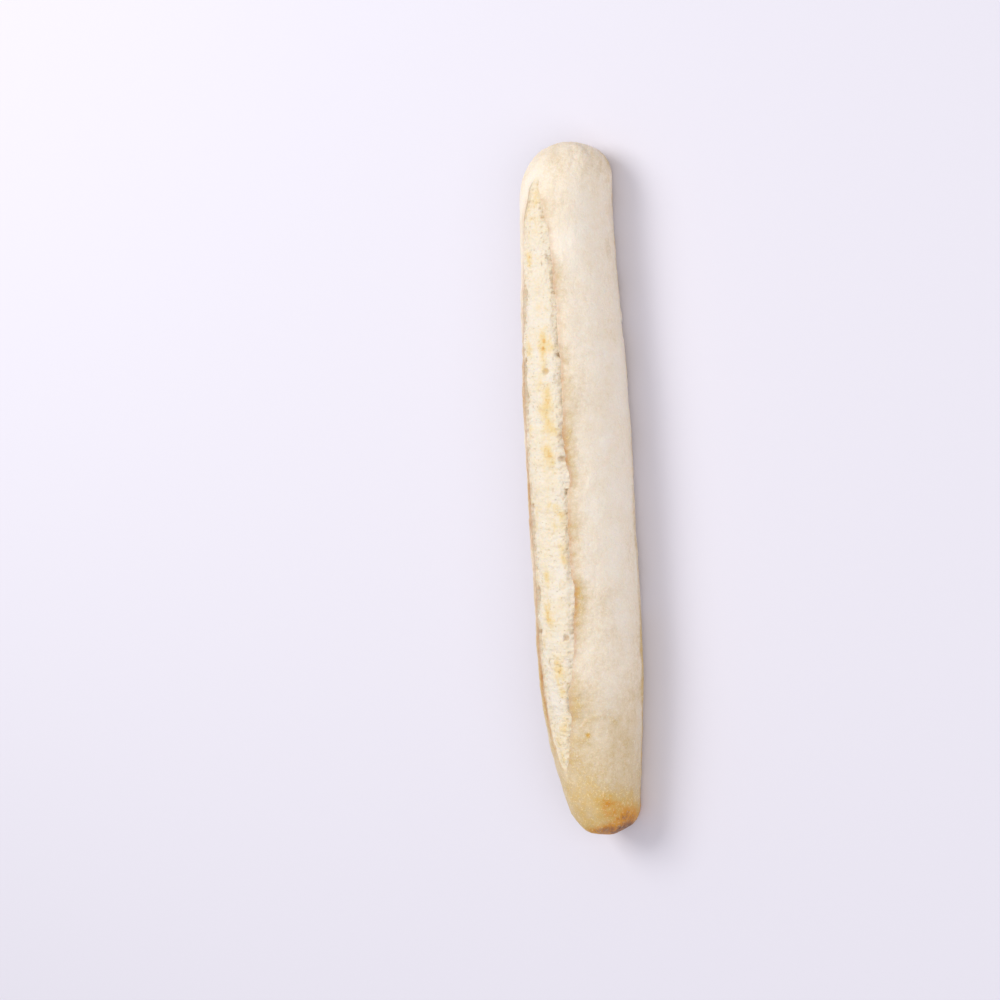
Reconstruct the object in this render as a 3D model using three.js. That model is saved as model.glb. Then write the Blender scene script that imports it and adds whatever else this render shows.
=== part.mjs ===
// A par-baked half baguette: one loaf, baked in one piece, with a single lengthwise score.
//
// Millimetres, +Z up. The loaf lies along X and rests on its flat base at z = 0,
// with the middle of its base on the origin. The score runs along the top, a little
// towards +Y, so that the flank on the -Y side is the broad, smooth one.

import * as THREE from 'three';
import { LoftGeometry } from 'three/addons/geometries/LoftGeometry.js';

// The loaf

const LENGTH = 325;
const WIDTH = 50;
const HEIGHT = 42.5;
const WIDEST_HEIGHT = 0.41; // height of the widest line, as a share of HEIGHT
const UPPER_FULLNESS = 2.12; // superellipse power of the dome, where 2 is a plain ellipse
const LOWER_FULLNESS = 2.5; // superellipse power of the rounded lower sides
const BASE_CUT = 1.13; // how far the lower curve would reach below the base, uncut

// Hand-shaped unevenness: swellings along the loaf, a slight bow in plan and a slimmer tail

const WIDEST_STATION = -0.2; // where the loaf is fattest, as a share of the half length
const NARROWING = 0.14; // how much slimmer it gets towards the ends
const SWELL = 0.016; // height of the soft swellings, as a share of the size
const SWELLS = 2.6; // how many swellings along the half length
const BOW = 0.8; // sideways bow of the middle line
const TAIL_SLIMMING = 0.4; // how much more the loaf slims towards the -X tip
const TAIL_SLIMMING_LENGTH = 100;

// The ends: how far from each tip the sides, top and base round off, how far the tip turns
// towards -Y, and how blunt it is, where 2 is elliptical

const TAIL = { side: 13, top: 18, base: 11, turn: 3, bluntness: 2.6 }; // at -X
const HEAD = { side: 19, top: 28, base: 14, turn: 3.2, bluntness: 2 }; // at +X
const TURN_LENGTH = 24;
const TIP_REACH = 0.995; // just short of 1, which leaves a small flat facet at the tip

// The score: a domed strip of crumb between two raised edges

const SCORE_SHIFT = 5.5; // middle of the score, towards +Y
const SCORE_SLANT = 1.5; // how far the score drifts towards -Y on its way to the +X tip
const SCORE_WIDTH = 27;
const TAIL_INSET = 31; // from each tip to the start of the score
const HEAD_INSET = 17;
const SCORE_SPAN = 3.2; // more keeps the full width for longer before the score narrows
const SCORE_TAPER = 0.65; // less makes the score's ends blunter
const CREASE_DEPTH = 2.2; // of the crease along the inside of each edge
const CREASE_WIDTH = 2.6;
const EAR_HEIGHT = 1.1; // of the raised edge outside each crease
const EAR_WIDTH = 2.4;

// Facets

const POINTS_AROUND = 54;
const STATIONS_ALONG = 50;
const CROWDING = 0.92; // how strongly the stations crowd towards the tips, from 0 to 1

const HALF_LENGTH = LENGTH / 2;

/** How full the loaf is at x, from 1 along the middle down to nearly 0 at a tip. */
function fullness( x, part ) {

	const end = x < 0 ? TAIL : HEAD;
	const reach = Math.max( 0, ( Math.abs( x ) - HALF_LENGTH + end[ part ] ) / end[ part ] );

	return ( 1 - ( reach * TIP_REACH ) ** 2 ) ** ( 1 / end.bluntness );

}

/** The slow change in girth along the loaf, near 1. */
function girth( x ) {

	const along = x / HALF_LENGTH;
	const slimming = NARROWING * ( along - WIDEST_STATION ) ** 2;
	const swelling = SWELL * Math.sin( SWELLS * Math.PI * along );
	const nearTail = Math.max( 0, 1 - ( x + HALF_LENGTH ) / TAIL_SLIMMING_LENGTH );

	return ( 1 - slimming + swelling ) * ( 1 - TAIL_SLIMMING * nearTail ** 2 );

}

/** The sideways place of the middle line at x. */
function middleLine( x ) {

	const bow = BOW * ( 1 - ( x / HALF_LENGTH ) ** 2 );
	const end = x < 0 ? TAIL : HEAD;
	const turn = end.turn * bump( HALF_LENGTH - Math.abs( x ), TURN_LENGTH );

	return - bow - turn;

}

/** Half the width of the score at x, which is 0 beyond its ends. */
function scoreHalfWidth( x ) {

	const scoreMiddle = ( TAIL_INSET - HEAD_INSET ) / 2;
	const halfScore = HALF_LENGTH - ( TAIL_INSET + HEAD_INSET ) / 2;
	const along = Math.abs( x - scoreMiddle ) / halfScore;

	return along < 1 ? SCORE_WIDTH / 2 * ( 1 - along ** SCORE_SPAN ) ** SCORE_TAPER : 0;

}

/** A smooth bump of height 1, centred on 0. */
function bump( distance, width ) {

	return Math.exp( - ( ( distance / width ) ** 2 ) );

}

/** How far the score lifts or lowers the surface, at a distance from the score's middle. */
function scoreRelief( distance, halfWidth ) {

	if ( halfWidth <= 0 ) return 0;

	const side = Math.abs( distance );
	const crease = CREASE_DEPTH * bump( side - halfWidth + CREASE_WIDTH / 2, CREASE_WIDTH );
	const ear = EAR_HEIGHT * bump( side - halfWidth - EAR_WIDTH / 2, EAR_WIDTH );

	return ( ear - crease ) * Math.min( 1, 2 * halfWidth / SCORE_WIDTH );

}

/** One point of the outline at x, at an angle from +Y towards +Z. */
function outlinePoint( x, angle ) {

	const upper = Math.sin( angle ) >= 0;
	const power = 2 / ( upper ? UPPER_FULLNESS : LOWER_FULLNESS );
	const across = Math.sign( Math.cos( angle ) ) * Math.abs( Math.cos( angle ) ) ** power;
	const rise = Math.sign( Math.sin( angle ) ) * Math.abs( Math.sin( angle ) ) ** power;

	const middle = WIDEST_HEIGHT * HEIGHT;
	const above = ( HEIGHT - middle ) * fullness( x, 'top' ) * girth( x );
	const below = middle * BASE_CUT * fullness( x, 'base' );

	const y = across * WIDTH / 2 * fullness( x, 'side' ) * girth( x );
	const z = middle + rise * ( upper ? above : below );
	const scoreLine = SCORE_SHIFT - SCORE_SLANT * x / HALF_LENGTH;
	const relief = upper ? rise * scoreRelief( y - scoreLine, scoreHalfWidth( x ) ) : 0;

	return new THREE.Vector3( x, y + middleLine( x ), Math.max( 0, z + relief ) );

}

/** Stations from tip to tip, closer together where the ends round off. */
function stations() {

	return Array.from( { length: STATIONS_ALONG }, ( _, i ) => {

		const even = 2 * i / ( STATIONS_ALONG - 1 ) - 1;
		const eased = Math.sin( even * Math.PI / 2 );

		return HALF_LENGTH * THREE.MathUtils.lerp( even, eased, CROWDING );

	} );

}

/** The whole crust as one closed surface, with the middle of its base on the origin. */
function loafGeometry() {

	const angles = Array.from( { length: POINTS_AROUND }, ( _, i ) => 2 * Math.PI * i / POINTS_AROUND );
	const sections = stations().map( ( x ) => angles.map( ( angle ) => outlinePoint( x, angle ) ) );
	const geometry = new LoftGeometry( sections, { capStart: true, capEnd: true } );

	geometry.computeBoundingBox();
	const middle = geometry.boundingBox.getCenter( new THREE.Vector3() );

	return geometry.translate( - middle.x, - middle.y, - geometry.boundingBox.min.z );

}

const crust = new THREE.MeshStandardMaterial( { color: 0xe6d3ab, roughness: 0.86, metalness: 0 } );

const baguette = new THREE.Mesh( loafGeometry(), crust );
baguette.name = 'baguette';

const loaf = new THREE.Group();
loaf.add( baguette );

export default loaf;
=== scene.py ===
# %% [markdown]
# # A par-baked half baguette
#
# The object is one loaf: a straight, pale stick of bread about 32.5 cm long, with blunt round
# ends, a flat base and one long score down its back. The CAD frame already holds its size, its
# base and a plain closed solid for the physics. This lesson makes the loaf that is seen.
#
# Bread has no straight line and no even colour, so nearly everything here is a formula for a
# plain shape, plus soft random numbers of several sizes that bend it.

# %% Load the frame
import itertools
import math

import bpy
import numpy as np
from mathutils import Matrix, Vector, noise


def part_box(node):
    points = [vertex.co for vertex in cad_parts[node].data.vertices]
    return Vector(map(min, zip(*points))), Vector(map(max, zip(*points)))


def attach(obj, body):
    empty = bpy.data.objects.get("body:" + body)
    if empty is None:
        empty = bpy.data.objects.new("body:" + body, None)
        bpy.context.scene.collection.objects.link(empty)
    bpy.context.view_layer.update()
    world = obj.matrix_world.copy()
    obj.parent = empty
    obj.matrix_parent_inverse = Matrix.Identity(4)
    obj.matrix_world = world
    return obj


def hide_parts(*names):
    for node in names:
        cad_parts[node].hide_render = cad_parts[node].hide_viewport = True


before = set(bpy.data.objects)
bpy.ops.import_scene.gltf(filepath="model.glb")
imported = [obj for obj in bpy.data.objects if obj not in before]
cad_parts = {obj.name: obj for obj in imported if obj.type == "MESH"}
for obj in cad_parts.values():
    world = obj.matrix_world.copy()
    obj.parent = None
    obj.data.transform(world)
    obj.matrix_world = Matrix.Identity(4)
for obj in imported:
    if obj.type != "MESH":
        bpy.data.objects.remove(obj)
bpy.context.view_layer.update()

# %% [markdown]
# ## The plain loaf
#
# A baker's loaf like this is a rolled stick of dough, so its outline is close to an ellipse with
# a flat foot. A sculpted block or a stretched sphere would do from afar, but a lofted grid is
# better: one ring of points at each station along the loaf, with every ring made by the same
# formula. The grid keeps neat rows, so later steps can say "3 mm outside the score's edge", and
# it unwraps onto a rectangle by itself.

# %% Sizes of the plain loaf
MM = 0.001

low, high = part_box("baguette")
LENGTH, WIDTH, HEIGHT = high - low
HALF_LENGTH = LENGTH / 2

WIDEST_HEIGHT = 0.41      # height of the widest line, as a share of HEIGHT
UPPER_FULLNESS = 2.12     # superellipse powers: 2 is a plain ellipse, more is boxier
LOWER_FULLNESS = 2.5
BASE_CUT = 1.13           # how far the lower curve would reach below the base, uncut
BASE_ROUNDING = 0.9 * MM  # softens the corner where the side meets the base

WIDEST_STATION = -0.2     # where the loaf is fattest, as a share of the half length
NARROWING = 0.14          # how much slimmer it gets towards the ends
SWELL, SWELLS = 0.016, 2.6
BOW = 0.8 * MM
TAIL_SLIMMING = 0.40      # how much more the loaf slims towards the -X tip
TAIL_SLIMMING_LENGTH = 100 * MM

# How far from each tip the sides, top and base round off, how far the tip turns towards -Y, and
# how blunt the tip is, where 2 is elliptical. The tail is at -X and the head at +X.
TAIL = {"side": 13 * MM, "top": 18 * MM, "base": 11 * MM, "turn": 3.0 * MM, "bluntness": 2.6}
HEAD = {"side": 19 * MM, "top": 28 * MM, "base": 14 * MM, "turn": 3.2 * MM, "bluntness": 2.0}
TURN_LENGTH = 24 * MM
print("length, width and height in mm:", LENGTH / MM, WIDTH / MM, HEIGHT / MM)


# %% The outline at any station
def fullness(x, part):
    """How full the loaf is at x: 1 along the middle, 0 at a tip."""
    rounding = np.where(x < 0, TAIL[part], HEAD[part])
    reach = np.clip((np.abs(x) - HALF_LENGTH + rounding) / rounding, 0, 1)
    return (1 - reach ** 2) ** (1 / np.where(x < 0, TAIL["bluntness"], HEAD["bluntness"]))


def girth(x):
    """The slow change in girth along the loaf, near 1."""
    along = x / HALF_LENGTH
    slow = 1 - NARROWING * (along - WIDEST_STATION) ** 2 + SWELL * np.sin(SWELLS * math.pi * along)
    near_tail = np.clip(1 - (x + HALF_LENGTH) / TAIL_SLIMMING_LENGTH, 0, 1)
    return slow * (1 - TAIL_SLIMMING * near_tail ** 2)


def middle_line(x):
    """How far the loaf's middle line lies to the side at x."""
    turn = np.where(x < 0, TAIL["turn"], HEAD["turn"])
    tip_turn = turn * np.exp(-((HALF_LENGTH - np.abs(x)) / TURN_LENGTH) ** 2)
    return -BOW * (1 - (x / HALF_LENGTH) ** 2) - tip_turn


def outline(x, angle):
    """Points of the loaf's outline at x, at an angle from +Y towards +Z. Arrays of one shape."""
    upper = np.sin(angle) >= 0
    power = 2 / np.where(upper, UPPER_FULLNESS, LOWER_FULLNESS)
    across = np.sign(np.cos(angle)) * np.abs(np.cos(angle)) ** power
    rise = np.sign(np.sin(angle)) * np.abs(np.sin(angle)) ** power
    middle = WIDEST_HEIGHT * HEIGHT
    above = (HEIGHT - middle) * fullness(x, "top") * girth(x)
    below = middle * BASE_CUT * fullness(x, "base")
    y = across * WIDTH / 2 * fullness(x, "side") * girth(x) + middle_line(x)
    z = middle + rise * np.where(upper, above, below)
    z = (z + np.sqrt(z ** 2 + BASE_ROUNDING ** 2)) / 2
    return np.stack([x, y, z], axis=-1)


# %% [markdown]
# ## Where the points go
#
# The score is full of torn edges and holes, and the base is nearly bare, so points are spent
# where there is something to shape: they lie close together across the score and wide apart
# underneath. Along the loaf the rings are spaced by the length of the outline, not by x. That
# keeps rings on the steep tips, where x hardly changes.

# %% Stations and angles
RINGS = 800
ROUND = 320
SCORE_SHIFT = 5.5 * MM        # the score's middle lies this far towards +Y
SCORE_WIDTH = 27 * MM
FINE_ZONE = 0.62 * SCORE_WIDTH
FINE_SHARE = 2.4              # how much closer together points lie across the score


def evenly_along(samples, lengths, count):
    """Picks count of the samples at even steps of the running total of lengths."""
    total = np.concatenate([[0], np.cumsum(lengths)])
    return np.interp(np.linspace(0, total[-1], count), total, samples)


fine_x = HALF_LENGTH * np.sin(np.linspace(-1, 1, 20001) * math.pi / 2)
edge_line = np.stack([fine_x, WIDTH / 2 * fullness(fine_x, "side")], axis=-1)
stations = evenly_along(fine_x, np.linalg.norm(np.diff(edge_line, axis=0), axis=1), RINGS)

fine_angle = np.linspace(0, 2 * math.pi, 8001)
middle_ring = outline(np.zeros_like(fine_angle), fine_angle)
ring_steps = np.linalg.norm(np.diff(middle_ring, axis=0), axis=1)
on_top = (fine_angle[:-1] < math.pi)
near_score = on_top & (np.abs(middle_ring[:-1, 1] - SCORE_SHIFT) < FINE_ZONE)
angles = evenly_along(fine_angle, ring_steps * np.where(near_score, FINE_SHARE, 1), ROUND + 1)[:-1]

station_grid, angle_grid = np.meshgrid(stations, angles, indexing="ij")
plain = outline(station_grid, angle_grid)
plain[..., 1] -= (plain[..., 1].max() + plain[..., 1].min()) / 2
plain[..., 2] -= plain[..., 2].min()
print("rings, points around:", plain.shape[:2], "size in mm:", np.ptp(plain.reshape(-1, 3), axis=0) / MM)


# %% Directions on the surface
def unit(vectors):
    """The same vectors, each made 1 long."""
    return vectors / np.maximum(np.linalg.norm(vectors, axis=-1, keepdims=True), 1e-12)


def around_direction(grid):
    """The unit step from each point to its neighbours round the ring."""
    return unit(np.roll(grid, -1, axis=1) - np.roll(grid, 1, axis=1))


def outward_direction(grid):
    """The unit normal at each point, pointing out of the loaf."""
    along = np.gradient(grid, axis=0)
    normal = unit(np.cross(around_direction(grid), along))
    normal[0], normal[-1] = (-1, 0, 0), (1, 0, 0)
    return normal


outward = outward_direction(plain)
around = around_direction(plain)

steps = np.linalg.norm(np.roll(plain, -1, axis=1) - plain, axis=-1)
walked = np.cumsum(steps, axis=1) - steps
top_index = int(np.argmin(np.abs(angles - math.pi / 2)))
across = walked - walked[:, top_index:top_index + 1]     # 0 on the ridge, + towards -Y
print("outward at the ridge:", outward[RINGS // 2, top_index].round(2))

# %% [markdown]
# ## Random numbers that look like dough
#
# Dough is uneven at every size: slow swellings from the hand, wrinkles, blisters, and the cells
# of the crumb. Two kinds of noise are enough. Soft noise gives hills that run into each other.
# Scattered spots give separate things, such as blisters and holes, each with its own size.


# %% Soft noise and scattered spots
def soft_noise(points, size, octaves=2, seed=0):
    """Smooth random numbers, about -1 to 1, which change over a length of size (one, or one per axis)."""
    scaled = points.reshape(-1, points.shape[-1]) / np.asarray(size) + 7.31 * seed
    if scaled.shape[1] == 2:
        scaled = np.column_stack([scaled, np.full(len(scaled), 3.7 * seed)])
    values = [noise.fractal(p, 1.0, 2.0, octaves) for p in scaled.tolist()]
    return np.array(values).reshape(points.shape[:-1])


def spot_random(cell, seed, salt):
    """A random number from 0 to 1 for each cell of a square grid."""
    mixed = cell @ np.array([12.9898, 78.233, 37.719])[:cell.shape[1]]
    return np.mod(np.sin(mixed + 3.17 * seed + 9.71 * salt) * 43758.5453, 1)


def scattered(points, size, seed):
    """Distance to the nearest scattered spot, in cells of a size, and that spot's own random number."""
    scaled = points.reshape(-1, points.shape[-1]) / np.asarray(size)
    home = np.floor(scaled)
    nearest = np.full(len(scaled), 9.0)
    own = np.zeros(len(scaled))
    for shift in itertools.product((-1, 0, 1), repeat=scaled.shape[1]):
        cell = home + shift
        spot = cell + np.stack([spot_random(cell, seed, axis) for axis in range(cell.shape[1])], axis=1)
        distance = np.linalg.norm(scaled - spot, axis=1)
        closer = distance < nearest
        nearest = np.where(closer, distance, nearest)
        own = np.where(closer, spot_random(cell, seed, 5), own)
    return nearest.reshape(points.shape[:-1]), own.reshape(points.shape[:-1])


def ease(value, start, end):
    """0 before start, 1 after end, and a smooth S between. Start may be the larger one."""
    t = np.clip((value - start) / (end - start), 0, 1)
    return t * t * (3 - 2 * t)


def hill(distance, width, far_width=None):
    """A smooth bump of height 1 at 0. With far_width, the positive side has that width."""
    widths = width if far_width is None else np.where(distance > 0, far_width, width)
    return np.exp(-(distance / widths) ** 2)


# %% [markdown]
# ## The score
#
# A blade opens the skin of the dough just before baking. The cut springs open, the crumb inside
# wells up as a low dome, and the two cut edges are left as thin raised lips. The lip that the
# blade undercut is the ear: it leans over a crease. A groove drawn by a bump map has no
# overhang and goes flat at the silhouette, so the points themselves are moved, both up and
# sideways, which lets the ear really lean over its crease.

# %% Where the two edges of the score run
TAIL_INSET, HEAD_INSET = 31 * MM, 17 * MM     # from each tip to the start of the score
SLANT = 1.5 * MM                              # the blade ran this far off the loaf's middle line
SCORE_SPAN = 3.2      # more keeps the full width for longer before the score narrows
SCORE_TAPER = 0.65    # less makes the score's ends blunter

line = np.column_stack([stations, np.zeros(RINGS)])
score_middle = (TAIL_INSET - HEAD_INSET) / 2
half_score = HALF_LENGTH - (TAIL_INSET + HEAD_INSET) / 2
share = np.abs(stations - score_middle) / half_score
half_width = SCORE_WIDTH / 2 * np.clip(1 - share ** SCORE_SPAN, 0, 1) ** SCORE_TAPER
opened = np.clip(2.2 * half_width / SCORE_WIDTH, 0, 1)


def wandering(size, seed):
    """One soft random number for each station, which changes over a length of size."""
    return soft_noise(line, size, 2, seed)


blade_line = -SCORE_SHIFT + SLANT * stations / HALF_LENGTH + 1.0 * MM * wandering(70 * MM, 1)
ear_line = blade_line + half_width * (1 + 0.06 * wandering(34 * MM, 2))
lip_line = blade_line - half_width * (1 + 0.08 * wandering(26 * MM, 3))
ragged = ease(opened, 0.02, 0.30)
ear_line += ragged * (0.65 * MM * wandering(9 * MM, 4) + 0.32 * MM * wandering(2.6 * MM, 5))
lip_line += ragged * (0.80 * MM * wandering(8 * MM, 6) + 0.38 * MM * wandering(2.4 * MM, 7))

past_ear = across - ear_line[:, None]      # + is outside the score, on the -Y side
past_lip = lip_line[:, None] - across      # + is outside the score, on the +Y side
inside = -np.maximum(past_ear, past_lip)   # + is inside the score
open_grid = opened[:, None]
crumb = ease(inside, -0.15 * MM, 0.35 * MM) * ease(open_grid, 0.02, 0.2)
print("widest opening in mm:", round(float((ear_line - lip_line).max() / MM), 1))


# %% Raise the ear and the lip over their creases
def torn_edge(past, height, lean, crease, seed):
    """Outward and sideways moves for one edge. Past, and the sideways move, are + away from the score."""
    vary = 0.75 + 0.8 * wandering(21 * MM, seed) + 0.35 * wandering(4 * MM, seed + 1)
    vary = np.clip(vary, 0.15, 1.6)[:, None]
    raised = vary * height * hill(past - 0.6 * MM, 0.8 * MM, 6.5 * MM)
    sunk = crease * (0.15 + 0.85 * vary) * hill(past + 1.2 * MM, 2.2 * MM, 0.7 * MM)
    leaning = vary * lean * hill(past - 0.3 * MM, 0.8 * MM, 1.7 * MM)
    tucked = 0.55 * lean * hill(past + 1.6 * MM, 0.8 * MM)
    return open_grid * (raised - sunk), open_grid * (tucked - leaning)


ear_out, ear_side = torn_edge(past_ear, 1.35 * MM, 1.6 * MM, 1.7 * MM, 10)
lip_out, lip_side = torn_edge(past_lip, 0.80 * MM, 0.9 * MM, 1.2 * MM, 20)
shaped = plain + outward * (ear_out + lip_out)[..., None] + around * (ear_side - lip_side)[..., None]
print("the ear and the lip rise by, in mm:", (ear_out.max() / MM).round(2), (lip_out.max() / MM).round(2))

# %% [markdown]
# ## The crumb
#
# Where the score opened, the crumb was pulled apart while it was still wet. It is rough, with
# fine strands across the cut and a row of small holes along each edge, where the skin tore away.
# In places the dough pushed through as smooth pillows with winding seams between them. A
# sculpting brush could draw all this by hand, but sums of soft noise and spots stay editable.

# %% Fibres, holes and lumps of the crumb
sheet = np.stack([station_grid, across], axis=-1)     # the loaf's skin laid out flat

lumps = soft_noise(sheet, (17 * MM, 11 * MM), 2, 31)
folds = soft_noise(sheet, (6 * MM, 8 * MM), 2, 36)
fibres = soft_noise(sheet, (2.0 * MM, 7 * MM), 2, 32)
strands = soft_noise(sheet, (0.9 * MM, 4 * MM), 2, 34)
grains = soft_noise(plain, 1.3 * MM, 2, 33)
torn_cells = ease(np.abs(soft_noise(sheet, (2.4 * MM, 3.4 * MM), 2, 39)), 0.02, 0.35)

pillow = ease(soft_noise(sheet, (26 * MM, 15 * MM), 2, 37), 0.22, 0.50) * ease(inside, 3 * MM, 6 * MM)
winding = soft_noise(sheet, (12 * MM, 9 * MM), 2, 38)
seam = pillow * ease(np.abs(winding), 0.10, 0.0)


def pore_ladder(inner, seed):
    """A row of oval pores beside one edge, where the skin tore off. Inner is + inside that edge."""
    rung = stations / (2.7 * MM) + 0.9 * wandering(8 * MM, seed)
    own = spot_random(np.floor(rung)[:, None], seed, 5)[:, None]
    along_pore = (np.mod(rung, 1) - 0.5)[:, None] / (0.30 + 0.16 * own)
    across_pore = (inner - (0.9 + 1.1 * own) * MM) / ((0.6 + 1.3 * own) * MM)
    run = np.clip(0.35 + 1.3 * wandering(22 * MM, seed + 1), 0, 1)[:, None]
    return run * own * np.clip(1 - along_pore ** 2 - across_pore ** 2, 0, 1) ** 0.6 * crumb * open_grid


def holes(size, seed, share_near_edge, share_inside, smallest, largest):
    """How deep each point lies in a hole, from 0 to 1. Holes are commoner near the score's edges."""
    distance, own = scattered(sheet, size, seed)
    wanted = share_inside + (share_near_edge - share_inside) * hill(inside - 2.4 * MM, 2.2 * MM)
    radius = smallest + (largest - smallest) * own / np.maximum(wanted, 1e-6)
    inside_hole = np.clip(1 - (distance / radius) ** 2, 0, 1) ** 0.7
    return np.where(own < wanted, inside_hole, 0) * crumb


pores = np.maximum(pore_ladder(-past_ear, 45), pore_ladder(-past_lip, 55))
small_holes = holes((1.6 * MM, 2.4 * MM), 41, 0.34, 0.05, 0.22, 0.46) * (1 - 0.8 * pillow)
large_holes = holes((6.5 * MM, 7.5 * MM), 42, 0.26, 0.03, 0.16, 0.32) * (1 - pillow)

roughened = 1 - 0.6 * pillow
crumb_rise = 0.70 * MM * lumps + 0.38 * MM * folds + 0.15 * MM * pillow - 0.40 * MM * seam
crumb_rise += roughened * (0.30 * MM * fibres + 0.22 * MM * strands + 0.20 * MM * grains)
crumb_rise -= roughened * 0.34 * MM * torn_cells * (0.35 + 0.65 * hill(inside - 2 * MM, 3.5 * MM))
crumb_rise -= 1.0 * MM * pores + 0.45 * MM * small_holes + 1.3 * MM * large_holes
edge_guard = ease(inside, 0.2 * MM, 1.6 * MM)
shaped += outward * (crumb * (0.35 + 0.65 * edge_guard) * crumb_rise)[..., None]
crumb_moves = crumb_rise * crumb / MM
print("crumb moves in mm:", crumb_moves.min().round(2), crumb_moves.max().round(2))

# %% [markdown]
# ## The crust
#
# The skin of a par-baked loaf is smooth but never flat. The hand leaves slow swellings, the
# cooling skin shrinks to a fine leathery grain, steam leaves small blisters, and the ends are
# drawn together in shallow pleats that die out before the tip. Underneath, the dough sank a
# little into the round holes of a baking tray. All of it is low, so it is moved in the mesh,
# where it also shows at the outline, and only the finest grain is left to the material.

# %% Swellings, blisters, pleats and the underside
crust = 1 - crumb
closing = fullness(station_grid, "side")      # 1 along the loaf, 0 at a tip
shoulder = ease(closing, 1.0, 0.85) * ease(closing, 0.30, 0.75)

swelling = 0.55 * MM * soft_noise(plain, 30 * MM, 2, 51) + 0.18 * MM * soft_noise(plain, 8 * MM, 2, 52)
leather = 0.11 * MM * soft_noise(plain, 3.6 * MM, 2, 54) + 0.07 * MM * soft_noise(plain, 1.6 * MM, 2, 55)
wrinkles = soft_noise(sheet, (9 * MM, 1.8 * MM), 2, 56) * ease(soft_noise(plain, 25 * MM, 2, 57), -0.2, 0.5)


def blisters(size, seed, share_of_spots, height):
    """Low round domes on a share of the scattered spots."""
    distance, own = scattered(plain, size, seed)
    radius = 0.22 + 0.26 * own / share_of_spots
    dome = np.clip(1 - (distance / radius) ** 2, 0, 1)
    return np.where(own < share_of_spots, height * dome * (0.5 + 0.5 * own / share_of_spots), 0)


small_blisters = blisters(2.3 * MM, 61, 0.35, 0.16 * MM)
large_blisters = blisters(7.5 * MM, 62, 0.16, 0.34 * MM)
round_the_end = np.stack([np.cos(angle_grid), np.sin(angle_grid), station_grid / (60 * MM)], axis=-1)
pleats = 0.7 * MM * soft_noise(round_the_end, 0.42, 2, 53) * shoulder

ARC_RADIUS = 11.7 * MM     # a faint curved crease, where a fold of dough closed
arc_middle = np.array([-115.6 * MM, 15.2 * MM])
from_arc = np.linalg.norm(sheet - arc_middle, axis=-1) - ARC_RADIUS
arc_run = ease(station_grid - arc_middle[0], 3 * MM, 8 * MM)
fold = 0.26 * MM * arc_run * hill(from_arc, 0.8 * MM, 1.4 * MM)

above_base = ease(plain[..., 2], 0.5 * MM, 5 * MM)
crust_rise = swelling + above_base * (leather + small_blisters + large_blisters + pleats - fold)
crust_rise += 0.12 * MM * above_base * wrinkles
shaped += outward * (crust * crust_rise * (0.2 + 0.8 * above_base))[..., None]
print("crust moves in mm:", (crust_rise.min() / MM).round(2), (crust_rise.max() / MM).round(2))


# %% The underside, and the loaf's place in the frame's box
TRAY_PITCH = 6.2 * MM        # from hole to hole along a row of the baking tray
TRAY_HOLE = 1.5 * MM


def from_tray_hole(x, y):
    """Distance to the nearest hole in staggered rows of round holes."""
    row_step = TRAY_PITCH * math.sqrt(3)
    distances = []
    for offset in (0, 0.5):
        dx = np.mod(x / TRAY_PITCH + offset, 1) - 0.5
        dy = np.mod(y / row_step + offset, 1) - 0.5
        distances.append(np.hypot(dx * TRAY_PITCH, dy * row_step))
    return np.minimum(*distances)


underneath = ease(plain[..., 2], 1.2 * MM, 0.2 * MM)
from_hole = from_tray_hole(shaped[..., 0], shaped[..., 1])
tray_dot = underneath * ease(from_hole, TRAY_HOLE + 0.7 * MM, TRAY_HOLE - 0.5 * MM)
tray_dot *= ease(soft_noise(sheet, 11 * MM, 2, 58), -0.7, 0.5)
foot = np.quantile(shaped[..., 2][underneath > 0.9], 0.3)
shaped[..., 2] = np.maximum(shaped[..., 2] - foot, 0) + 0.28 * MM * underneath * (1 - tray_dot)

lowest = shaped.min(axis=(0, 1))
grown = np.ptp(shaped, axis=(0, 1)) / np.array(high - low)
shaped = np.array(low) + (shaped - lowest) / grown
print("grown by the relief before fitting:", grown.round(3), "now in mm:", np.ptp(shaped, axis=(0, 1)) / MM)

# %% [markdown]
# ## From numbers to a mesh
#
# Rows of points become four-sided faces, and one point closes each tip. Numbers that the finish
# needs, such as "how much crumb", ride along on the points as attributes. The unwrap is the grid
# itself, so the colours can be baked later without a seam across the score.


# %% Build the loaf's mesh
def grid_faces(rings, round_count):
    """Four-sided faces between rings, with the ring's last point joined to its first."""
    i, j = np.meshgrid(np.arange(rings - 1), np.arange(round_count), indexing="ij")
    following = (j + 1) % round_count
    here, beyond = i * round_count, (i + 1) * round_count
    corners = [here + j, beyond + j, beyond + following, here + following]
    spread_u = np.stack([i, i + 1, i + 1, i], axis=-1) / (rings - 1)
    spread_v = np.stack([j, j, j + 1, j + 1], axis=-1) / round_count
    return np.stack(corners, axis=-1).reshape(-1, 4), np.stack([spread_u, spread_v], axis=-1).reshape(-1, 2)


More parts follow.
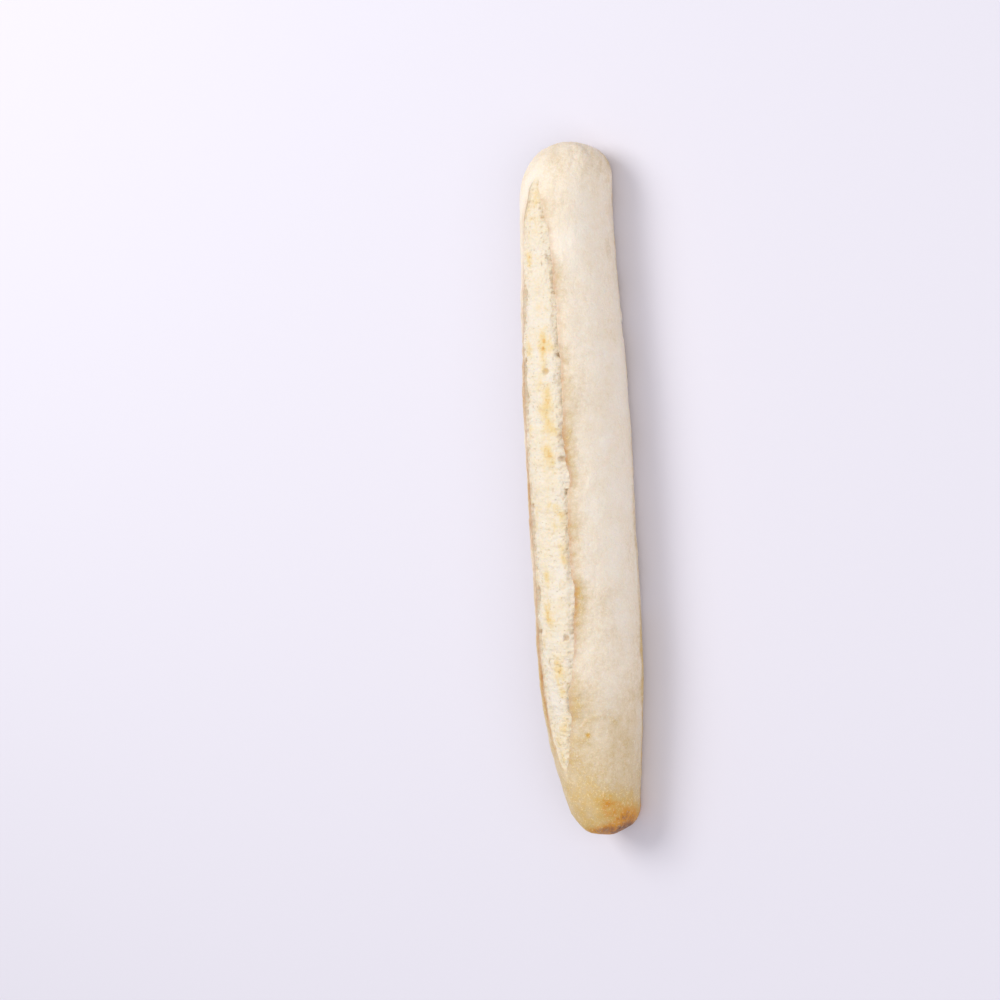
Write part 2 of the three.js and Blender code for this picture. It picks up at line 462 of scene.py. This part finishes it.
def build_loaf(grid, name):
    """A closed mesh from the grid without its first and last rings, which shrink to the two tips."""
    body = grid[1:-1]
    rings, round_count = body.shape[:2]
    quads, quad_uvs = grid_faces(rings, round_count)
    tips = [grid[0].mean(axis=0), grid[-1].mean(axis=0)]
    first, last = rings * round_count, rings * round_count + 1
    j = np.arange(round_count)
    following = (j + 1) % round_count
    last_row = (rings - 1) * round_count
    fans = np.concatenate([
        np.stack([np.full(round_count, first), j, following], axis=-1),
        np.stack([np.full(round_count, last), last_row + following, last_row + j], axis=-1)])
    fan_uvs = np.concatenate([
        np.stack([[0, 0, 0]] * round_count), np.stack([[1, 1, 1]] * round_count)]).astype(float)
    fan_v = np.concatenate([np.stack([j + 0.5, j, j + 1], axis=-1), np.stack([j + 0.5, j + 1, j], axis=-1)])
    mesh = bpy.data.meshes.new(name)
    points = np.concatenate([body.reshape(-1, 3), tips])
    mesh.from_pydata(points.tolist(), [], quads.tolist() + fans.tolist())
    uvs = np.concatenate([quad_uvs, np.stack([fan_uvs, fan_v / round_count], axis=-1).reshape(-1, 2)])
    mesh.uv_layers.new(name="OFBake").data.foreach_set("uv", uvs.ravel())
    mesh.shade_smooth()
    loaf = bpy.data.objects.new(name, mesh)
    bpy.context.scene.collection.objects.link(loaf)
    return loaf


def store(loaf, name, grid):
    """Puts one number on each point of the mesh, from a grid of the same shape as the loaf's."""
    values = np.concatenate([grid[1:-1].ravel(), [grid[0].mean(), grid[-1].mean()]])
    loaf.data.attributes.new(name, "FLOAT", "POINT").data.foreach_set("value", values.astype(np.float32))


loaf = build_loaf(shaped, "loaf")
print("faces:", len(loaf.data.polygons))

# %% [markdown]
# ## Where the loaf is baked darker, and where shade is painted
#
# A par-baked loaf leaves the oven early, so it stays the colour of cream. It only colours where
# heat was greatest: the ends, the low sides that faced the hot tray, the thin edges of the score
# and the tops of the crumb. A little of it is painted shade: a band just inside a curved fold near
# the tail, and part of the low golden band where it reaches higher towards the tail. These places
# could be painted by hand, but they follow the shape, so they are worked out on the points. The
# material adds the fine mottling later.

# %% How baked each point of the crust is, from 0 to about 1
from_tail = station_grid + HALF_LENGTH      # distance from the tip at -X
from_head = HALF_LENGTH - station_grid
height = shaped[..., 2]

patchy = soft_noise(plain, 22 * MM, 3, 71)
streaky = soft_noise(sheet, (16 * MM, 2.2 * MM), 2, 72)
speckled = soft_noise(plain, 2.4 * MM, 3, 77)


def spot(x, y, z, size, stretch=(1, 1, 1)):
    """A soft mark on the surface near a point, made longer along the axes by stretch."""
    away = (shaped - np.array([x, y, z])) / np.array(stretch)
    return np.exp(-(np.linalg.norm(away, axis=-1) / size) ** 2)


bake = 0.13 + 0.05 * patchy
bake += 0.045 * ease(from_tail, 140 * MM, 95 * MM) + 0.15 * ease(from_tail, 90 * MM, 32 * MM)
bake += 0.12 * ease(from_tail, 38 * MM, 10 * MM)
bake += 0.03 * ease(from_head, 24 * MM, 4 * MM)

# %% The toasted corner of the tail
glow = spot(-HALF_LENGTH + 8 * MM, -16 * MM, 20 * MM, 10 * MM)
orange_middle = spot(-HALF_LENGTH + 10 * MM, -16 * MM, 22.5 * MM, 5 * MM)
golden_patch = spot(-HALF_LENGTH + 15.5 * MM, -12 * MM, 30 * MM, 5.4 * MM)
low_corner = spot(-HALF_LENGTH + 5 * MM, -15 * MM, 12 * MM, 7 * MM)
bake += 0.17 * glow * (1 + 0.3 * speckled)
bake += 0.09 * orange_middle * (1 + 0.4 * speckled)
bake += 0.19 * golden_patch * (1 + 0.5 * speckled)
bake += 0.20 * low_corner

rim = ease(fullness(station_grid, "side"), 0.93, 0.70) * ease(station_grid, 0, -0.1)
rim_toast = 0.08 + 0.24 * ease(shaped[..., 1], 6 * MM, -9 * MM)    # darker towards -Y
bake += rim * rim_toast * (1 + 0.35 * speckled)
print("bake at the darkest point of the tail:", bake.max().round(2))

# %% Marks of the head, and small marks near the tail
head_patch = spot(HALF_LENGTH - 9 * MM, -18 * MM, 20 * MM, 11 * MM, (1.6, 1, 1))
low_patch = spot(HALF_LENGTH - 8 * MM, -18 * MM, 8 * MM, 6 * MM)
flank_mark = spot(HALF_LENGTH - 51.5 * MM, -22 * MM, 17 * MM, 3.2 * MM, (1.6, 1, 1))
bake += 0.07 * head_patch * (1 + 1.3 * streaky) + 0.20 * low_patch + 0.11 * flank_mark

dot = spot(-114 * MM, -8 * MM, 37.4 * MM, 1.1 * MM)
smear = spot(-116 * MM, -4 * MM, 38.0 * MM, 2.4 * MM, (1, 2.6, 1))
# A golden band just inside the curved fold: painted shade beside the fold.
arc_painted_shade = arc_run * hill(from_arc + 1.8 * MM, 1.8 * MM, 1.1 * MM)
bake += 0.38 * dot + 0.09 * smear + 0.08 * arc_painted_shade
print("bake at the darkest point of the head:", bake[RINGS // 2:].max().round(2))

# %% The low sides and the underside
# The band near the base is gold from the tray, with a darker line at its top. From about the middle towards
# the tail it reaches higher: partly that line, partly painted shade of the low sides turned from the light.
raised_for_line_and_shade = ease(station_grid, 32 * MM, -12 * MM) * ease(station_grid, -128 * MM, -92 * MM)
gold_top = 8 * MM + 4.6 * MM * raised_for_line_and_shade
gold_top += 1.6 * MM * wandering(14 * MM, 78)[:, None] + 0.6 * MM * wandering(3 * MM, 79)[:, None]
low_gold_and_shade = ease(height - gold_top, 1.0 * MM, -4.5 * MM)
gold_line = hill(height - gold_top + 1.8 * MM, 1.5 * MM)
bake += 0.17 * low_gold_and_shade * (1 + 0.5 * patchy) + 0.10 * gold_line * (1 + 0.8 * patchy)

under_patches = 0.07 * patchy + 0.05 * soft_noise(plain, 9 * MM, 3, 80)
bake += underneath * (0.09 + under_patches - 0.12 * tray_dot)

# %% The skin beside the score
edge_run = np.clip(0.55 + 0.75 * wandering(30 * MM, 81), 0.05, 1.3)[:, None]
lip_run = np.clip(0.50 + 0.80 * wandering(26 * MM, 82), 0.05, 1.3)[:, None]
lip_run += 0.8 * hill(stations + 90 * MM, 20 * MM)[:, None]
bake += open_grid * 0.26 * edge_run * hill(past_ear - 1.2 * MM, 1.5 * MM, 3.4 * MM) * (1 + 0.5 * speckled)
bake += open_grid * 0.26 * lip_run * hill(past_lip - 1.2 * MM, 1.5 * MM, 3.8 * MM) * (1 + 0.5 * streaky)

# %% How baked the crumb and the torn edges are
clouds = soft_noise(sheet, (14 * MM, 9 * MM), 4, 73)
crumb_bake = 0.10 + 0.42 * ease(clouds, -0.25, 0.95) * ease(inside, 0.5 * MM, 6 * MM)
hot_cores = ease(clouds, 0.45, 1.0) * ease(soft_noise(sheet, (4 * MM, 5 * MM), 3, 83), -0.1, 0.7)
crumb_bake += 0.34 * hot_cores * ease(inside, 2 * MM, 6 * MM)
crumb_bake += 0.10 * lumps * ease(inside, 2 * MM, 8 * MM) + 0.18 * seam - 0.05 * pillow
crumb_bake += 0.12 * ease(np.abs(station_grid - score_middle), half_score - 34 * MM, half_score - 8 * MM)

ear_edge = open_grid * hill(past_ear - 0.35 * MM, 0.6 * MM, 1.1 * MM)
lip_edge = open_grid * hill(past_lip - 0.35 * MM, 0.6 * MM, 1.3 * MM)
fine_heat = 0.25 * wandering(3 * MM, 75)[:, None]
torn_bake = 0.8 * ear_edge * (0.25 + 0.6 * edge_run + fine_heat)
torn_bake += 0.9 * lip_edge * (0.25 + 0.6 * lip_run + fine_heat)
torn_bake = np.clip(torn_bake, 0, 1)

# Painted shade inside the pores, the holes and the crumb's seams; the material lays HOLE_SHADE over it.
hole = np.clip(pores + 0.5 * small_holes + large_holes + 0.2 * seam, 0, 1)
floury = ease(soft_noise(plain, (24 * MM, 13 * MM, 13 * MM), 3, 76), -0.1, 0.5)
floury = crust * np.clip(floury + 0.9 * (small_blisters + large_blisters) / (0.34 * MM), 0, 1)

for name, grid in {"crumb": crumb, "bake": bake, "crumb_bake": crumb_bake, "torn_bake": torn_bake,
                   "hole": hole, "flour": floury}.items():
    store(loaf, name, grid)
    print(name, "from", grid.min().round(2), "to", grid.max().round(2))

# %% [markdown]
# ## Sums on shader sockets
#
# A material is a graph of small nodes. Written out one by one, a simple sum hides in many lines,
# so one class wraps a socket and lets Python's own signs add the nodes.


# %% The wire class
class Wire:
    """One output of a material's nodes. Signs between wires and numbers add Math nodes."""

    def __init__(self, tree, socket=None):
        self.tree = tree
        self.socket = socket

    def node(self, kind, settings=(), inputs=(), output=0):
        """Adds a node of a type, with its settings first and then its sockets' values or wires."""
        made = self.tree.nodes.new("ShaderNode" + kind)
        for name, value in dict(settings).items():
            if name == "stops":
                set_stops(made.color_ramp, value)
            else:
                setattr(made, name, value)
        for name, value in dict(inputs).items():
            if isinstance(value, Wire):
                self.tree.links.new(value.socket, made.inputs[name])
            else:
                made.inputs[name].default_value = value
        return Wire(self.tree, made.outputs[output] if made.outputs else None)

    def maths(self, operation, *values):
        """One Math node with these values or wires as its inputs."""
        return self.node("Math", {"operation": operation}, enumerate(values))

    def __add__(self, other):
        return self.maths("ADD", self, other)

    __radd__ = __add__

    def __sub__(self, other):
        return self.maths("SUBTRACT", self, other)

    def __rsub__(self, other):
        return self.maths("SUBTRACT", other, self)

    def __mul__(self, other):
        return self.maths("MULTIPLY", self, other)

    __rmul__ = __mul__

    def eased(self, start, end):
        """0 at start, 1 at end, with a smooth S between."""
        return self.node("MapRange", {"interpolation_type": "SMOOTHSTEP"},
                         {"Value": self, "From Min": start, "From Max": end})

    def mixed(self, factor, other):
        """This colour with another laid over it by factor. A Mix node's colours are sockets 6 and 7."""
        return self.node("Mix", {"data_type": "RGBA", "clamp_factor": True},
                         {0: factor, 6: self, 7: other}, output=2)


def set_stops(ramp, stops):
    """Fills a colour ramp with (place, colour) pairs."""
    while len(ramp.elements) < len(stops):
        ramp.elements.new(0.5)
    for element, (place, colour) in zip(ramp.elements, stops):
        element.position = place
        element.color = colour


def colour(red, green, blue):
    """A colour as a paint chart gives it, 0 to 255, turned into amounts of light from 0 to 1."""
    shares = [value / 255 for value in (red, green, blue)]
    light = [s / 12.92 if s <= 0.04045 else ((s + 0.055) / 1.055) ** 2.4 for s in shares]
    return (*light, 1.0)


# %% [markdown]
# ## The crust and crumb
#
# One material covers the loaf, because crust and crumb are one baked skin and fade into each
# other. Each has its own ramp from pale to dark, read by how baked the place is. Over that lie
# flour dust, fine specks, the brown torn edges and the shade inside the holes. The skin is a
# little see-through, as bread is, so light bleeds softly past the edges of the holes.

# %% Colours of the bake
CRUST_STOPS = [
    (0.00, colour(242, 233, 218)),   # raw-looking cream
    (0.16, colour(236, 221, 197)),   # straw
    (0.36, colour(210, 186, 143)),   # pale gold
    (0.52, colour(209, 173, 99)),    # gold
    (0.68, colour(209, 142, 36)),    # orange gold
    (0.84, colour(162, 104, 52)),    # toasted
    (1.00, colour(112, 72, 46)),     # scorched
]
CRUMB_STOPS = [
    (0.00, colour(231, 222, 206)),
    (0.22, colour(231, 217, 190)),
    (0.45, colour(229, 205, 153)),
    (0.68, colour(218, 169, 98)),
    (0.85, colour(190, 125, 62)),
    (1.00, colour(146, 88, 44)),
]
FLOUR = colour(244, 239, 229)
SPARKLE = colour(238, 219, 168)
TORN_BROWN = colour(178, 112, 58)
HOLE_SHADE = colour(190, 150, 95)
PIN_HOLE_SHADE = colour(198, 164, 112)


# %% Mix the bread material
def bread_material():
    """Crust and crumb in one material, steered by the numbers stored on the points."""
    material = bpy.data.materials.new("par_baked_bread")
    material.use_nodes = True
    tree = material.node_tree
    tree.nodes.clear()
    wire = Wire(tree)

    place = wire.node("TexCoord", output="Object")

    def attribute(name):
        return wire.node("Attribute", {"attribute_name": name}, output="Fac")

    def stretched(stretch):
        return wire.node("VectorMath", {"operation": "MULTIPLY"}, {0: place, 1: stretch})

    def grain(scale, detail=3.0, roughness=0.6, stretch=(1, 1, 1)):
        """Fine noise, about 0.3 to 0.7, with features about 1 / scale metres across."""
        return wire.node("TexNoise", {}, {"Vector": stretched(stretch), "Scale": scale, "Detail": detail,
                                          "Roughness": roughness})

    def dots(scale, radius, softness=0.1, stretch=(1, 1, 1)):
        """Scattered round dots, 1 in a dot's middle, in cells 1 / scale metres wide."""
        distance = wire.node("TexVoronoi", {}, {"Vector": stretched(stretch), "Scale": scale})
        return distance.eased(radius, radius - softness)

    crumb_share = attribute("crumb")
    crust_share = 1 - crumb_share
    bake = attribute("bake")
    mottle = grain(90)
    fine = grain(420, 4, 0.65)
    specks = grain(1000, 3, 0.6)

    baked = bake + (mottle - 0.5) * 0.22 + (fine - 0.5) * (0.22 + 0.24 * bake)
    baked = baked + (specks - 0.5) * (0.26 + 0.22 * bake)
    crust_colour = wire.node("ValToRGB", {"stops": CRUST_STOPS}, {"Fac": baked})
    flecks = dots(330, 0.24, 0.20) * mottle.eased(0.46, 0.62)
    dust = attribute("flour") * (0.15 + 0.45 * fine.eased(0.44, 0.60)) + flecks * 0.45
    dust = dust + specks.eased(0.52, 0.68) * 0.45
    crust_colour = crust_colour.mixed(dust * (0.60 - 0.50 * bake.eased(0.30, 0.62)), FLOUR)
    sparkle = specks.eased(0.54, 0.64) * bake.eased(0.22, 0.45) * (0.50 - 0.25 * bake.eased(0.55, 0.80))
    crust_colour = crust_colour.mixed(sparkle, SPARKLE)

    strands = grain(330, 4, 0.65, (1, 0.28, 0.7))
    pin_holes = dots(700, 0.30, 0.20, (1, 0.7, 1)) * grain(150, 2, 0.5).eased(0.45, 0.62)
    crumb_baked = attribute("crumb_bake") + (strands - 0.5) * 0.50
    crumb_baked = crumb_baked + (fine - 0.5) * 0.30 + (specks - 0.5) * 0.30
    crumb_colour = wire.node("ValToRGB", {"stops": CRUMB_STOPS}, {"Fac": crumb_baked})
    # Painted shade in the crumb's small pin holes.
    crumb_colour = crumb_colour.mixed(pin_holes * 0.35, PIN_HOLE_SHADE)

    skin = crust_colour.mixed(crumb_share, crumb_colour)
    skin = skin.mixed(attribute("torn_bake") * (0.30 + 0.85 * fine), TORN_BROWN)
    skin = skin.mixed(attribute("hole") * 0.5, HOLE_SHADE)

    roughness = 0.62 + 0.22 * crumb_share + (fine - 0.5) * 0.25 - 0.12 * bake
    crust_relief = crust_share * (0.65 * fine + (0.45 + 0.5 * bake) * specks + 0.15 * flecks)
    crumb_relief = crumb_share * (1.1 * strands + 0.8 * fine + 0.5 * specks - 0.4 * pin_holes)
    bump = wire.node("Bump", {}, {"Strength": 0.8, "Distance": 0.7 * MM,
                                  "Height": crust_relief + crumb_relief}, output="Normal")

    bread = wire.node("BsdfPrincipled", {}, {
        "Base Color": skin, "Roughness": roughness, "Normal": bump,
        "Subsurface Weight": 0.16, "Subsurface Radius": (1.0, 0.60, 0.30), "Subsurface Scale": 2.0 * MM,
        "Specular IOR Level": 0.35})
    wire.node("OutputMaterial", {}, {"Surface": bread})
    return material


loaf.data.materials.append(bread_material())
print("nodes in the bread material:", len(loaf.data.materials[0].node_tree.nodes))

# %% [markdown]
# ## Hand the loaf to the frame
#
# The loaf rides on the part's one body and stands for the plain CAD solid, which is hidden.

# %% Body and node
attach(loaf, "root")
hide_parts("baguette")
print(loaf.name, "stands for the CAD solid baguette and takes its finish from the slot crust")

# %% [markdown]
# ## A pale floor and soft light
#
# The floor is wide enough to fill every view. One large soft light from the upper left models
# the loaf, a weaker one fills from the right, and the sky lifts what is left.


# %% Floor
def pale_floor():
    size = 6.0
    corners = [(-size, -size, 0), (size, -size, 0), (size, size, 0), (-size, size, 0)]
    mesh = bpy.data.meshes.new("floor")
    mesh.from_pydata(corners, [], [(0, 1, 2, 3)])
    floor = bpy.data.objects.new("floor", mesh)
    bpy.context.scene.collection.objects.link(floor)
    material = bpy.data.materials.new("floor_paint")
    material.use_nodes = True
    shader = material.node_tree.nodes["Principled BSDF"]
    shader.inputs["Base Color"].default_value = colour(222, 219, 228)
    shader.inputs["Roughness"].default_value = 0.9
    mesh.materials.append(material)
    return floor


pale_floor()

# %% Camera
VIEW_HEIGHT = math.radians(57)     # how far above the floor the camera looks from, on the -Y side
LEAN = math.radians(3.3)           # the head of the loaf leans this far to the left
VIEW_WIDTH = 468 * MM              # what the view spans at the loaf
OFF_CENTRE = (0.077, 0.0115)       # where the loaf's middle lies, right and up, as shares of the view
LENS = 100.0
SENSOR = 36.0

camera_data = bpy.data.cameras.new("camera")
camera_data.lens = LENS
camera_data.sensor_width = SENSOR
camera = bpy.data.objects.new("camera", camera_data)
bpy.context.scene.collection.objects.link(camera)
bpy.context.scene.camera = camera

backward = Vector((0, -math.cos(VIEW_HEIGHT), math.sin(VIEW_HEIGHT)))
level_right = Vector((1, 0, 0)).cross(backward)
right = math.cos(LEAN) * level_right - math.sin(LEAN) * Vector((1, 0, 0))
up = backward.cross(right)
reach = VIEW_WIDTH * LENS / SENSOR
loaf_middle = Vector((0, 0, HEIGHT / 2))
spot_seen = loaf_middle - VIEW_WIDTH * (OFF_CENTRE[0] * right + OFF_CENTRE[1] * up)
turn = Matrix((right, up, backward)).transposed().to_4x4()
camera.matrix_world = Matrix.Translation(spot_seen + reach * backward) @ turn
print("camera at", [round(v, 3) for v in camera.matrix_world.translation])


# %% Lights
def soft_light(name, toward, distance, size, watts, tint):
    """A square light that looks at the loaf from a direction."""
    data = bpy.data.lights.new(name, "AREA")
    data.shape = "SQUARE"
    data.size = size
    data.energy = watts
    data.color = tint
    light = bpy.data.objects.new(name, data)
    direction = Vector(toward).normalized()
    light.location = loaf_middle + distance * direction
    light.rotation_euler = direction.to_track_quat("Z", "Y").to_euler()
    bpy.context.scene.collection.objects.link(light)


soft_light("key", (0.50, 0.60, 1.0), 1.3, 0.7, 9.7, (1.0, 0.985, 0.965))
soft_light("fill", (-0.2, -0.8, 0.95), 1.5, 1.2, 7.9, (1.0, 0.985, 0.98))

sky = bpy.data.worlds.new("sky")
sky.use_nodes = True
sky.node_tree.nodes["Background"].inputs["Color"].default_value = colour(236, 236, 243)
sky.node_tree.nodes["Background"].inputs["Strength"].default_value = 0.66
bpy.context.scene.world = sky
bpy.context.scene.view_settings.view_transform = "Standard"
